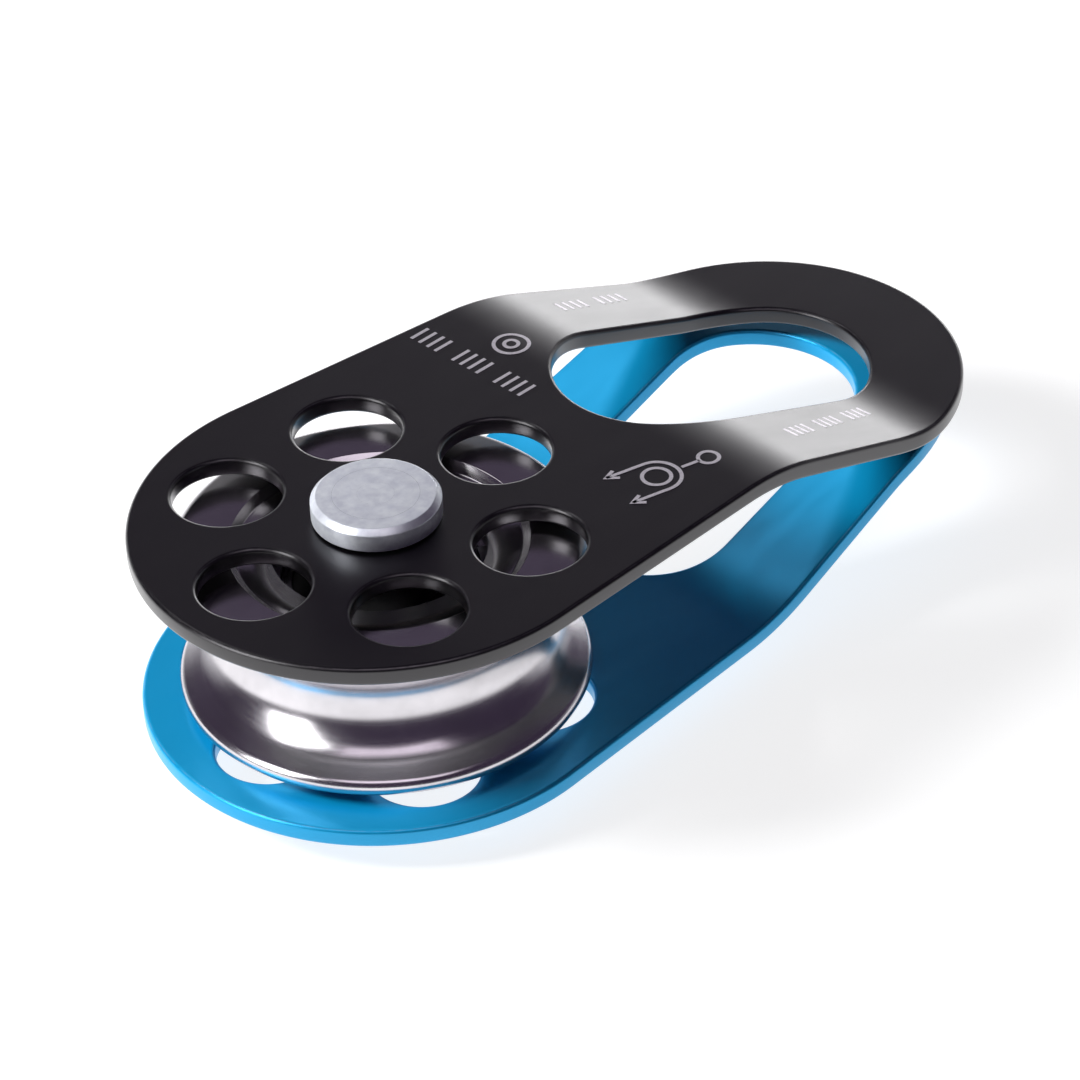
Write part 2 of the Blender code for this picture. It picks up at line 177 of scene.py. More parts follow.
class StageSettings(bpy.types.PropertyGroup):
    """Camera, floor and lights."""

    azimuth: angle("Azimuth", math.radians(-41.4), "Camera's turn about the pin's axis")
    elevation: angle("Elevation", math.radians(36.0), "Camera's height over the horizon")
    roll: angle("Roll", math.radians(2.25), "Camera's turn about its own axis")
    distance: length("Distance", 0.538, "Distance from the camera to its target")
    target_x: length("Target along", 0.0223, "Where the camera looks, along the cheeks")
    target_y: FloatProperty(
        name="Target across",
        default=-0.0038,
        description="Where the camera looks, across the cheeks",
        subtype="DISTANCE",
        unit="LENGTH",
    )
    lens: FloatProperty(name="Lens", default=145.9, description="Focal length in millimetres")


# ---------------------------------------------------------------- meshes


def mesh_object(name, points, quads, triangles=()):
    """A smooth-shaded mesh object at the origin from whole arrays of points and faces."""
    mesh = bpy.data.meshes.new(name)
    faces = [tuple(face) for face in np.asarray(quads).tolist()]
    faces += [tuple(face) for face in np.asarray(triangles).tolist()]
    mesh.from_pydata(np.asarray(points).tolist(), [], faces)
    mesh.shade_smooth()
    mesh.update()
    obj = bpy.data.objects.new(name, mesh)
    bpy.context.scene.collection.objects.link(obj)
    return obj


def grid_quads(rows, columns, first=0, close_rows=False, close_columns=True):
    """Faces of a grid of points, row by row; a closed direction joins its last line to its first."""
    row = np.arange(rows if close_rows else rows - 1)[:, None]
    column = np.arange(columns if close_columns else columns - 1)[None, :]
    next_row = (row + 1) % rows
    next_column = (column + 1) % columns
    corners = [
        row * columns + column,
        row * columns + next_column,
        next_row * columns + next_column,
        next_row * columns + column,
    ]
    return first + np.stack(np.broadcast_arrays(*corners), axis=-1).reshape(-1, 4)


def rounded(corners, radius, closed=True, steps=5):
    """A path whose inner corners are arcs.

    At each corner the arc of the given radius touches both straight sides, at a distance of
    radius / tan(half the corner's angle) from it; points are spread evenly along the arc.
    """
    corners = np.asarray(corners, float)
    radii = np.broadcast_to(np.asarray(radius, float), len(corners))
    path = []
    for index, corner in enumerate(corners):
        ends = not closed and index in (0, len(corners) - 1)
        if ends or radii[index] <= 0:
            path.append(corner[None])
            continue
        before = corners[index - 1] - corner
        after = corners[(index + 1) % len(corners)] - corner
        room = 0.45 * min(np.linalg.norm(before), np.linalg.norm(after))
        before /= np.linalg.norm(before)
        after /= np.linalg.norm(after)
        half = math.acos(np.clip(before @ after, -1, 1)) / 2
        reach = min(radii[index] / math.tan(half), room)
        bisector = (before + after) / np.linalg.norm(before + after)
        centre = corner + bisector * reach / math.cos(half)
        size = reach * math.tan(half)
        turn = np.linspace(-1, 1, steps + 1)[:, None] * (math.pi / 2 - half)
        side = (after - before) / np.linalg.norm(after - before)
        path.append(centre + size * (np.sin(turn) * side - np.cos(turn) * bisector))
    return np.concatenate(path)


def turned(name, profile, closed=True, segments=144):
    """Surface of revolution: point (r, z) of the profile at turn u goes to (r cos u, r sin u, z).

    A closed profile makes a ring. An open one starts and ends on the axis, where each end is a
    single point with a fan of triangles round it. The profile runs down the outer side.
    """
    profile = np.asarray(profile, float)
    ring = profile if closed else profile[1:-1]
    turn = np.linspace(0, FULL_TURN, segments, endpoint=False)
    radius, height = ring[:, :1], ring[:, 1:]
    points = np.stack(
        [radius * np.cos(turn), radius * np.sin(turn), height + 0 * turn], axis=-1
    ).reshape(-1, 3)
    quads = grid_quads(len(ring), segments, close_rows=closed)[:, ::-1]
    if closed:
        return mesh_object(name, points, quads)
    count = len(points)
    poles = [[0, 0, profile[0, 1]], [0, 0, profile[-1, 1]]]
    column = np.arange(segments)
    following = (column + 1) % segments
    last = count - segments
    top = np.stack([column, following, np.full(segments, count)], axis=-1)
    bottom = np.stack([last + following, last + column, np.full(segments, count + 1)], axis=-1)
    return mesh_object(name, np.concatenate([points, poles]), quads, np.concatenate([top, bottom]))


def arc(centre, radius, start, end, steps):
    """Points on a circle from the start angle to the end angle, both included, as an array."""
    turn = np.linspace(start, end, steps + 1)
    return np.stack([centre[0] + radius * np.cos(turn), centre[1] + radius * np.sin(turn)], -1)


def line(start, end, steps):
    """Points strictly between two points, evenly spaced."""
    share = np.linspace(0, 1, steps + 1)[1:-1, None]
    return np.asarray(start) * (1 - share) + np.asarray(end) * share


def paint(obj, material):
    obj.data.materials.clear()
    obj.data.materials.append(material)


def finish_piece(obj, material, slot, body, *nodes):
    """Gives a finished piece its material, its body and the nodes it stands for; the slot argument is
    not used.
    """
    paint(obj, material)
    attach(obj, body)
    if nodes:
        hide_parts(*nodes)


# ---------------------------------------------------------------- cheek plates


class Plate:
    """The cheek's plan and bend. Heights are measured from the mid-plane of the pulley."""

    ARC_STEPS = 150
    STRAIGHT_STEPS = 75
    GRID_ALONG = 0.0009
    GRID_ACROSS = 0.0016
    GRID_REACH = 1.4
    SIDE_ROOM = 1.02

    def __init__(self, sizes):
        self.sizes = sizes
        self.wheel_radius = -CHEEK_LOW.x
        self.eye_x = CHEEK_HIGH.x - sizes.eye_end_radius
        self.eye_radius = sizes.eye_end_radius - sizes.eye_wall
        self.near_x = self.eye_x - sizes.eye_travel
        self.wheel_height = CHEEK_HIGH.z - MID_Z - sizes.thickness / 2
        self.eye_height = CHEEK_LOW.z - MID_Z + sizes.thickness / 2
        self.bore_radius = sizes.bore_radius
        self.lean = math.acos((self.wheel_radius - sizes.eye_end_radius) / self.eye_x)
        turns = np.arange(sizes.hole_count) * FULL_TURN / sizes.hole_count
        reach = sizes.hole_circle
        self.hole_centres = [(reach * math.cos(turn), reach * math.sin(turn)) for turn in turns]

    def bend(self, x):
        """Height and slope of the middle surface at distance x along the plate.

        The height falls in a straight line between the two bends, and a parabola that touches
        both neighbouring lines rounds each bend.
        """
        blend = self.sizes.bend_blend
        run = self.sizes.bend_end - self.sizes.bend_start
        drop = self.eye_height - self.wheel_height

        def past(start):
            along = x - start
            curve = (along + blend) ** 2 / (4 * blend)
            height = np.where(along < -blend, 0, np.where(along > blend, along, curve))
            return height, np.clip((along + blend) / (2 * blend), 0, 1)

        (first, first_slope), (second, second_slope) = (
            past(self.sizes.bend_start),
            past(self.sizes.bend_end),
        )
        height = self.wheel_height + drop * (first - second) / run
        return height, drop * (first_slope - second_slope) / run

    def normals(self, plan):
        """Normal of the middle surface at plan points: (-slope, 0, 1) at unit length."""
        slope = self.bend(plan[:, 0])[1]
        upright = np.stack([-slope, 0 * slope, 1 + 0 * slope], axis=-1)
        return upright / np.linalg.norm(upright, axis=1, keepdims=True)

    def lift(self, plan, offset):
        """Plan points moved onto the bent plate, offset from its middle along its normal."""
        height = self.bend(plan[:, 0])[0]
        middle = np.stack([plan[:, 0], plan[:, 1], height], axis=-1)
        return middle + offset * self.normals(plan)

    def outline(self, inset):
        """The plate's outer edge, moved inwards: two arcs and the lines that touch both."""
        lean = self.lean
        wheel = arc((0, 0), self.wheel_radius - inset, lean, FULL_TURN - lean, self.ARC_STEPS)
        eye_radius = self.sizes.eye_end_radius - inset
        eye = arc((self.eye_x, 0), eye_radius, -lean, lean, self.ARC_STEPS)
        return np.concatenate(
            [
                wheel,
                line(wheel[-1], eye[0], self.STRAIGHT_STEPS),
                eye,
                line(eye[-1], wheel[0], self.STRAIGHT_STEPS),
            ]
        )

    def eye(self, inset):
        """The carabiner eye, moved into the metal: a slot with round ends."""
        radius = self.eye_radius + inset
        near = arc((self.near_x, 0), radius, math.pi / 2, 3 * math.pi / 2, 60)
        far = arc((self.eye_x, 0), radius, -math.pi / 2, math.pi / 2, 60)
        return np.concatenate([near, line(near[-1], far[0], 24), far, line(far[-1], near[0], 24)])

    def round_hole(self, centre, radius, steps=72):
        return lambda inset: arc(centre, radius + inset, 0, FULL_TURN, steps)[:-1]

    def holes(self):
        """Every opening of the plate as a function that gives its edge moved into the metal."""
        lightening = [
            self.round_hole(centre, self.sizes.hole_radius) for centre in self.hole_centres
        ]
        return [self.eye, *lightening, self.round_hole((0, 0), self.bore_radius)]

    def edge_profile(self):
        """(inset, offset) pairs round the plate's edge, from its front face to its back face.

        Each edge is a quarter circle; a support line a little way in keeps the faces flat.
        """
        half = self.sizes.thickness / 2
        soft = self.sizes.edge_round
        turn = np.linspace(0, math.pi / 2, 7)
        quarter = np.stack([soft * (1 - np.sin(turn)), half - soft * (1 - np.cos(turn))], axis=-1)
        support = [[soft * 1.5, half], [soft * 1.12, half]]
        front = np.concatenate([support, quarter])
        back = front[::-1] * [1, -1]
        return np.concatenate([front, back])

    def in_metal(self, points):
        """True where a plan point lies well inside the metal, clear of every edge's support line."""
        margin = self.sizes.edge_round * 1.5
        x, y = points[:, 0], points[:, 1]
        near = np.clip(x, self.near_x, self.eye_x)
        clear = np.hypot(x - near, y) > self.eye_radius + margin
        for hole_x, hole_y in self.hole_centres:
            clear &= np.hypot(x - hole_x, y - hole_y) > self.sizes.hole_radius + margin
        clear &= np.hypot(x, y) > self.bore_radius + margin
        lean = self.lean
        side = x * math.cos(lean) + np.abs(y) * math.sin(lean) < self.wheel_radius - margin
        wheel_end = np.hypot(x, y) < self.wheel_radius - margin
        eye_end = np.hypot(x - self.eye_x, y) < self.sizes.eye_end_radius - margin
        low_x = self.wheel_radius * math.cos(lean)
        high_x = self.eye_x + self.sizes.eye_end_radius * math.cos(lean)
        body = side & (x > low_x) & (x < high_x)
        return clear & (wheel_end | eye_end | body)

    def inner_points(self):
        """Extra plan points over the bends, so that the plate's faces curve smoothly there.

        A point has to lie in the metal both where it is and a little further out to its side.
        """
        reach = self.GRID_REACH * self.sizes.bend_blend
        low, high = self.sizes.bend_start - reach, self.sizes.bend_end + reach
        x = np.arange(low, high, self.GRID_ALONG)
        y = np.arange(-self.wheel_radius, self.wheel_radius, self.GRID_ACROSS)
        points = np.stack(np.meshgrid(x, y), axis=-1).reshape(-1, 2)
        return points[self.in_metal(points) & self.in_metal(points * [1, self.SIDE_ROOM])]

    def face_triangles(self, loops):
        """Triangles that fill the plan between the loops, with the plan points they use."""
        inner = self.inner_points()
        plan = np.concatenate([*loops, inner])
        starts = np.cumsum([0] + [len(loop) for loop in loops])
        edges = []
        for start, loop in zip(starts, loops):
            index = np.arange(len(loop))
            edges += np.stack([start + index, start + (index + 1) % len(loop)], axis=-1).tolist()
        filled = delaunay_2d_cdt([Vector(point) for point in plan], edges, [], 0, 1e-9)
        source = np.array([origin[0] for origin in filled[3]])
        triangles = source[np.array([face for face in filled[2] if len(face) == 3])]
        middles = plan[triangles].mean(axis=1)
        corners = plan[triangles]
        turn = np.cross(corners[:, 1] - corners[:, 0], corners[:, 2] - corners[:, 0])
        triangles = np.where(turn[:, None] < 0, triangles[:, ::-1], triangles)
        return inner, triangles[self.in_metal(middles)]

    def surface(self):
        """Points, faces, edge wear and face normals of the whole closed plate, as one dictionary.

        The rounded edge profile is carried along the outline and round each opening, and two
        flat fills, one for each face, close the plate between the innermost lines.
        """
        profile = self.edge_profile()
        half = self.sizes.thickness / 2
        points, quads, wear, normals, loops, fronts, backs = [], [], [], [], [], [], []
        first = 0
        for index, family in enumerate([self.outline, *self.holes()]):
            for inset, offset in profile:
                plan = family(inset)
                on_face = 0 if abs(offset) < half else math.copysign(1, offset)
                points.append(self.lift(plan, offset))
                normals.append(self.normals(plan) * on_face)
            count = len(plan)
            faces = grid_quads(len(profile), count, first)
            quads.append(faces if index else faces[:, ::-1])
            nearness = np.clip(1 - profile[:, 0] / self.sizes.edge_round, 0, 1)
            wear.append(np.repeat(nearness, count))
            loops.append(family(profile[0, 0]))
            fronts.append(first + np.arange(count))
            backs.append(first + (len(profile) - 1) * count + np.arange(count))
            first += len(profile) * count
        inner, triangles = self.face_triangles(loops)
        points += [self.lift(inner, half), self.lift(inner, -half)]
        normals += [self.normals(inner), -self.normals(inner)]
        wear.append(np.zeros(2 * len(inner)))
        front = np.concatenate([*fronts, first + np.arange(len(inner))])
        back = np.concatenate([*backs, first + len(inner) + np.arange(len(inner))])
        return {
            "points": np.concatenate(points),
            "normals": np.concatenate(normals),
            "quads": np.concatenate(quads),
            "triangles": np.concatenate([front[triangles], back[triangles][:, ::-1]]),
            "wear": np.concatenate(wear),
        }


def turn_over(points, swing):
    """The rear cheek's place: a half turn about X, then its swing about the pin."""
    cos, sin = math.cos(swing), math.sin(swing)
    x, y, z = points[:, 0], -points[:, 1], -points[:, 2]
    return np.stack([x * cos - y * sin, x * sin + y * cos, z], axis=-1)


def store_wear(obj, wear):
    """Keeps how near each point is to an edge, from 0 on a face to 1 on the edge itself."""
    layer = obj.data.attributes.new("edge_wear", "FLOAT", "POINT")
    layer.data.foreach_set("value", wear.astype(np.float32))


def make_cheek(node, surface, place, material, slot):
    """The finished plate for one CAD cheek: place moves points and turns normals alike."""
    obj = mesh_object(
        f"{node}_plate",
        place(surface["points"]) + [0, 0, MID_Z],
        surface["quads"],
        surface["triangles"],
    )
    store_wear(obj, surface["wear"])
    obj.data.normals_split_custom_set_from_vertices(place(surface["normals"]).tolist())
    finish_piece(obj, material, slot, node, node)


# ---------------------------------------------------------------- materials


def add(tree, kind, inputs=None, **settings):
    """A new node with its settings and its input values, which may be other nodes' outputs."""
    node = tree.nodes.new(kind)
    for key, value in settings.items():
        setattr(node, key, value)
    for key, value in (inputs or {}).items():
        if isinstance(value, bpy.types.NodeSocket):
            tree.links.new(value, node.inputs[key])
        else:
            node.inputs[key].default_value = value
    return node


def principled(name, **values):
    """A new material with a Principled shader; values go on its own sockets."""
    material = bpy.data.materials.new(name)
    material.use_nodes = True
    shader = material.node_tree.nodes["Principled BSDF"]
    for key, value in values.items():
        shader.inputs[key.replace("_", " ").title().replace("Ior", "IOR")].default_value = value
    return material, material.node_tree, shader


def object_coordinates(tree):
    return add(tree, "ShaderNodeTexCoord").outputs["Object"]


def noise(tree, vector, scale, detail=3, roughness=0.55):
    inputs = {"Vector": vector, "Scale": scale, "Detail": detail, "Roughness": roughness}
    return add(tree, "ShaderNodeTexNoise", inputs).outputs["Fac"]


def spread(tree, value, low, high, start=0.0, end=1.0):
    """Maps a 0 to 1 pattern, from its start to its end, onto low to high."""
    inputs = {"Value": value, "From Min": start, "From Max": end, "To Min": low, "To Max": high}
    return add(tree, "ShaderNodeMapRange", inputs).outputs["Result"]


def mix(tree, share, first, second):
    node = add(tree, "ShaderNodeMix", data_type="RGBA")
    colours = [socket for socket in node.inputs if socket.type == "RGBA"]
    for socket, value in zip([node.inputs[0], *colours], (share, first, second)):
        if isinstance(value, bpy.types.NodeSocket):
            tree.links.new(value, socket)
        else:
            socket.default_value = value
    return next(socket for socket in node.outputs if socket.type == "RGBA")


def bump(tree, height, strength, distance):
    inputs = {"Height": height, "Strength": strength, "Distance": distance}
    return add(tree, "ShaderNodeBump", inputs).outputs["Normal"]


def stretched(tree, scale, turn=0.0):
    """Object coordinates scaled by different amounts along each axis, for scratches and grain."""
    inputs = {"Vector": object_coordinates(tree), "Scale": scale, "Rotation": (0, 0, turn)}
    return add(tree, "ShaderNodeMapping", inputs).outputs["Vector"]


def turning(tree, across, along):
    """Coordinates (radius, height, 0) scaled for rings that a lathe tool leaves round the pin."""
    split = add(tree, "ShaderNodeSeparateXYZ", {"Vector": object_coordinates(tree)}).outputs
    flat = add(tree, "ShaderNodeCombineXYZ", {"X": split["X"], "Y": split["Y"]}).outputs["Vector"]
    radius = add(tree, "ShaderNodeVectorMath", {0: flat}, operation="LENGTH").outputs["Value"]
    rings = add(tree, "ShaderNodeCombineXYZ", {"X": radius, "Y": split["Z"]}).outputs["Vector"]
    inputs = {"Vector": rings, "Scale": (across, along, 1)}
    return add(tree, "ShaderNodeMapping", inputs).outputs["Vector"]


def opaque(rgb):
    return (*rgb, 1)


def scaled(rgb, factor):
    return tuple(min(1, channel * factor) for channel in rgb)


def anodised(name, rgb, bare, roughness, sheen, metallic):
    """Dyed anodised aluminium: a fine blasted grain under a thin clear oxide layer.

    Faint cloudiness tints the dye, and a broken paler line follows the plate's tumbled edges.
    """
    material, tree, shader = principled(name, metallic=metallic)
    cloud = noise(tree, object_coordinates(tree), 40, 4)
    tint = mix(tree, cloud, opaque(scaled(rgb, 0.90)), opaque(scaled(rgb, 1.10)))
    edge = add(tree, "ShaderNodeAttribute", attribute_name="edge_wear").outputs["Fac"]
    rub = noise(tree, object_coordinates(tree), 420, 5, 0.7)
    corner = spread(tree, edge, 0, 1, 0.1, 0.45)
    crest = spread(tree, edge, 1, 0, 0.55, 0.9)
    line_share = add(tree, "ShaderNodeMath", {0: corner, 1: crest}, operation="MULTIPLY")
    worn = add(tree, "ShaderNodeMath", {0: line_share.outputs[0], 1: rub}, operation="MULTIPLY")
    shown = mix(tree, spread(tree, worn.outputs[0], 0, 0.20, 0.34, 0.75), tint, opaque(bare))
    tree.links.new(shown, shader.inputs["Base Color"])
    smear = noise(tree, stretched(tree, (90, 420, 200), math.radians(24)), 1, 3)
    tree.links.new(
        spread(tree, smear, roughness - 0.025, roughness + 0.035, 0.3, 0.7),
        shader.inputs["Roughness"],
    )
    grain = noise(tree, object_coordinates(tree), 5200, 2, 0.6)
    tree.links.new(bump(tree, grain, 0.06, 0.00003), shader.inputs["Normal"])
    shader.inputs["Coat Weight"].default_value = sheen
    shader.inputs["Coat IOR"].default_value = 1.75
    shader.inputs["Coat Roughness"].default_value = roughness
    return material


def lathe_metal(name, rgb, roughness, rings, ring_depth, metallic=1.0, mottle=90):
    """Turned metal: fine rings round the pin, and a cloudy change of tone of the mottle scale."""
    material, tree, shader = principled(name, metallic=metallic)
    fine = noise(tree, turning(tree, rings, rings), 1, 4, 0.65)
    smear = noise(tree, object_coordinates(tree), mottle, 5, 0.6)
    smear = spread(tree, smear, 0, 1, 0.32, 0.68)
    tone = mix(tree, smear, opaque(scaled(rgb, 0.84)), opaque(scaled(rgb, 1.08)))
    tree.links.new(tone, shader.inputs["Base Color"])
    tree.links.new(
        spread(tree, fine, roughness * 0.8, roughness * 1.35, 0.3, 0.7), shader.inputs["Roughness"]
    )
    tree.links.new(bump(tree, fine, 0.25, ring_depth), shader.inputs["Normal"])
    return material


def moulded(name, rgb, roughness, grain_depth):
    """Moulded rubber or nylon: soft mottling and a fine even grain."""
    material, tree, shader = principled(name, metallic=0.0)
    mottle = noise(tree, object_coordinates(tree), 300, 4)
    tone = mix(tree, mottle, opaque(scaled(rgb, 0.85)), opaque(scaled(rgb, 1.15)))
    tree.links.new(tone, shader.inputs["Base Color"])
    tree.links.new(
        spread(tree, mottle, roughness - 0.08, roughness + 0.08), shader.inputs["Roughness"]
    )
    grain = noise(tree, object_coordinates(tree), 3500, 2)
    tree.links.new(bump(tree, grain, 0.3, grain_depth), shader.inputs["Normal"])
    return material


def etched(name, rgb):
    """Laser-etched marks: dull, pale and slightly uneven."""
    material, tree, shader = principled(name, metallic=0.7)
    speckle = noise(tree, object_coordinates(tree), 2600, 3, 0.7)
    tone = mix(tree, speckle, opaque(scaled(rgb, 0.7)), opaque(scaled(rgb, 1.2)))
    tree.links.new(tone, shader.inputs["Base Color"])
    tree.links.new(spread(tree, speckle, 0.32, 0.5), shader.inputs["Roughness"])
    tree.links.new(bump(tree, speckle, 0.2, 0.00002), shader.inputs["Normal"])
    return material


# ---------------------------------------------------------------- etched marks


def ribbon(path, width, closed=False):
    """Flat strip along a path: each point goes half the width to both sides, along the normal
    of the path there, and mitred by 1 / cos(half the turn) so that the strip keeps its width.
    """
    path = np.asarray(path, float)
    ahead = np.roll(path, -1, axis=0) - path
    ahead /= np.linalg.norm(ahead, axis=1, keepdims=True)
    behind = np.roll(ahead, 1, axis=0)
    if not closed:
        behind[0] = ahead[0]
        ahead[-1] = behind[-1]
    along = ahead + behind
    along /= np.linalg.norm(along, axis=1, keepdims=True)
    cosine = np.clip((along * ahead).sum(axis=1, keepdims=True), 0.35, 1)
    normal = np.stack([-along[:, 1], along[:, 0]], axis=-1) * (width / 2) / cosine
    return path + normal, path - normal


def mark_strip(plate, path, width, closed):
    """A thin closed ribbon lying on the plate's front face, as points and quads."""
    left, right = ribbon(path, width, closed)
    face = plate.sizes.thickness / 2
    rows = [
        plate.lift(left, face + MARK_THICKNESS),
        plate.lift(right, face + MARK_THICKNESS),
        plate.lift(right, face - MARK_THICKNESS),
        plate.lift(left, face - MARK_THICKNESS),
    ]
    count = len(path)
    quads = grid_quads(4, count, close_rows=True, close_columns=closed)
    if not closed:
        ends = np.arange(4) * count
        caps = np.stack([ends[::-1], ends + count - 1])
        quads = np.concatenate([quads, caps])
    return np.concatenate(rows), quads[:, ::-1]


def arrow(tip, direction, size):
    """An open arrow head: two strokes that meet at the tip."""
    direction = np.asarray(direction, float) / np.linalg.norm(direction)
    across = np.array([-direction[1], direction[0]])
    back = np.asarray(tip) - direction * size
    return np.array([back + across * size * 0.6, tip, back - across * size * 0.6])


def rope_symbol(centre, size):
    """A generic use symbol: a wheel, a rope over it with an arrow on each end, and a hook above."""
    x, y = centre
    wheel = arc(centre, size * 0.42, 0, FULL_TURN, 40)[:-1]
    over = arc(centre, size * 0.72, -math.pi / 2, math.pi / 2, 24)
    left_end = (x - size * 1.25, y + size * 0.72)
    right_end = (x - size * 1.25, y - size * 0.72)
    rope = np.concatenate([[right_end], over, [left_end]])
    hanger = np.array([[x + size * 0.85, y], [x + size * 1.45, y]])
    loop = arc((x + size * 1.75, y), size * 0.3, 0, FULL_TURN, 24)[:-1]
    return [
        (wheel, True),
        (rope, False),
        (arrow(left_end, (-1, 0), size * 0.34), False),
        (arrow(right_end, (-1, 0), size * 0.34), False),
        (hanger, False),
        (loop, True),
    ]


def turned_paths(paths, centre, turn):
    """The same strokes, turned about a point of the plan."""
    cos, sin = math.cos(turn), math.sin(turn)
    spin = np.array([[cos, sin], [-sin, cos]])
    return [((np.asarray(path) - centre) @ spin + centre, closed) for path, closed in paths]


def stroke_row(start, end, groups, size):
    """A row of short plain strokes across a line, in even groups with a space between them."""
    start, end = np.asarray(start, float), np.asarray(end, float)
    places = np.concatenate([np.arange(4) + 5.2 * group for group in range(groups)])
    along = end - start
    foot = start + along * (places / places.max())[:, None]
    across = np.array([-along[1], along[0]]) / np.linalg.norm(along)
    share = np.linspace(0, 1, 5)[:, None]
    return [(point + across * size * share, False) for point in foot]


def pivot_symbol(centre, size):
    """A plain ring with a smaller ring inside it."""
    outer = arc(centre, size, 0, FULL_TURN, 40)[:-1]
    inner = arc(centre, size * 0.4, 0, FULL_TURN, 24)[:-1]
    return [(outer, True), (inner, True)]


# ---------------------------------------------------------------- operators


class PULLEY_OT_cheeks(bpy.types.Operator):
    """Makes both bent cheek plates"""

    bl_idname = "rope_pulley.cheeks"
    bl_label = "Cheek plates"

    def execute(self, context):
        sizes = context.scene.pulley_cheeks
        looks = context.scene.pulley_finishes
        surface = Plate(sizes).surface()
        rough = looks.cheek_roughness
        black = anodised("black_anodising", looks.black, looks.bare, rough, 0.85, 0.9)
        blue = anodised("blue_anodising", looks.blue, looks.bare, rough, 0.15, 0.5)
        make_cheek("front_cheek", surface, lambda rows: rows, black, "black_anodised")
        over = functools.partial(turn_over, swing=sizes.rear_swing)
        make_cheek("rear_cheek", surface, over, blue, "blue_anodised")
        return {"FINISHED"}


MARK_THICKNESS = 0.00003
STROKE_WIDTH = 0.00048
SYMBOL_PLACE = (0.0290, -0.0178)
SYMBOL_SIZE = 0.0042
SYMBOL_TURN = math.radians(-12)
RING_PLACE = (0.0362, 0.0160)
RING_SIZE = 0.0022
# Start and end of each row of strokes, its number of groups and the length of a stroke
WHEEL_ROW = ((0.0320, 0.0070), (0.0312, 0.0260), 3, 0.0030)
ARM_ROWS = (
    ((0.0490, 0.0200), (0.0600, 0.0205), 2, 0.0022),
    ((0.0500, -0.0205), (0.0650, -0.0185), 3, 0.0022),
)


class PULLEY_OT_marks(bpy.types.Operator):
    """Etches plain symbols on the front cheek"""

    bl_idname = "rope_pulley.marks"
    bl_label = "Etched marks"

    def execute(self, context):
        plate = Plate(context.scene.pulley_cheeks)
        place = np.array(SYMBOL_PLACE)
        paths = turned_paths(rope_symbol(place, SYMBOL_SIZE), place, SYMBOL_TURN)
        paths += stroke_row(*WHEEL_ROW)
        paths += pivot_symbol(RING_PLACE, RING_SIZE)
        for row in ARM_ROWS:
            paths += stroke_row(*row)
        points, quads, first = [], [], 0
        for path, closed in paths:
            strip, faces = mark_strip(plate, path, STROKE_WIDTH, closed)
            points.append(strip)
            quads.append(faces + first)
            first += len(strip)
        marks = mesh_object(
            "front_cheek_marks", np.concatenate(points) + [0, 0, MID_Z], np.concatenate(quads)
        )
        marks.data.shade_flat()
        etch = etched("etched_marks", context.scene.pulley_finishes.etch)
        finish_piece(marks, etch, "black_anodised", "front_cheek")
        return {"FINISHED"}


class PULLEY_OT_sheave(bpy.types.Operator):
    """Turns the grooved sheave"""

    bl_idname = "rope_pulley.sheave"
    bl_label = "Sheave"

    def execute(self, context):
        looks = context.scene.pulley_finishes
        profile = sheave_profile(context.scene.pulley_wheel)
        sheave = turned("rope_sheave", profile + [0, MID_Z], segments=192)
        metal = lathe_metal("polished_metal", looks.polish, looks.polish_roughness, 9000, 0.000004)
        finish_piece(sheave, metal, "polished_sheave", "wheel", "sheave")
        return {"FINISHED"}


def sheave_profile(sizes):
    """Section of the sheave, down its outer side and up its bore.

    The groove is an arc that wraps to its flanks. The rim is the one circle that touches the
    side face, the rim's cylinder and the flank.
    """
    radius = WHEEL_HIGH.x
    half = (WHEEL_HIGH.z - WHEEL_LOW.z) / 2
    wrap = sizes.groove_wrap
    flank_r = sizes.tread_radius + sizes.groove_radius * (1 - math.cos(wrap))
    flank_z = sizes.groove_radius * math.sin(wrap)
    across = math.sin(wrap) * (half - flank_z)
    along = math.cos(wrap) * (radius - flank_r)
    rim = (across - along) / (1 + math.sin(wrap) - math.cos(wrap))
    front_rim = arc((radius - rim, half - rim), rim, math.pi / 2, -wrap, 16)
    centre = (sizes.tread_radius + sizes.groove_radius, 0)
    groove = arc(centre, sizes.groove_radius, math.pi - wrap, math.pi + wrap, 44)
    rear_rim = front_rim[::-1] * [1, -1]
    recess, depth = sizes.recess_radius, sizes.recess_depth
    slope = recess + depth
    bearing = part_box("bearing_outer_ring")
    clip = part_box("retaining_ring")
    seat = bearing[1].x + RUNNING_FIT
    seat_low = bearing[0].z - MID_Z - SEAT_END_GAP
    shoulder = seat - SHOULDER_HEIGHT
    clip_low = clip[0].z - MID_Z - CLIP_GAP
    clip_high = clip[1].z - MID_Z + CLIP_GAP
    clip_seat = seat + CLIP_SEAT_DEPTH
    hub = half - depth
    front = rounded(
        [(seat, hub), (recess, hub), (slope, half), (front_rim[0][0], half)],
        [sizes.edge_round, sizes.edge_round * 2, sizes.edge_round, 0],
        closed=False,
    )
    front = front[:-1]
    rear = front[::-1] * [1, -1]
    rear = rear[:-1]
    bore = np.array(
        [
            (shoulder, -hub),
            (shoulder, seat_low),
            (seat, seat_low),
            (seat, clip_low),
            (clip_seat, clip_low),
            (clip_seat, clip_high),
            (seat, clip_high),
        ]
    )
    return np.concatenate([front, front_rim, groove[1:-1], rear_rim, rear, bore])


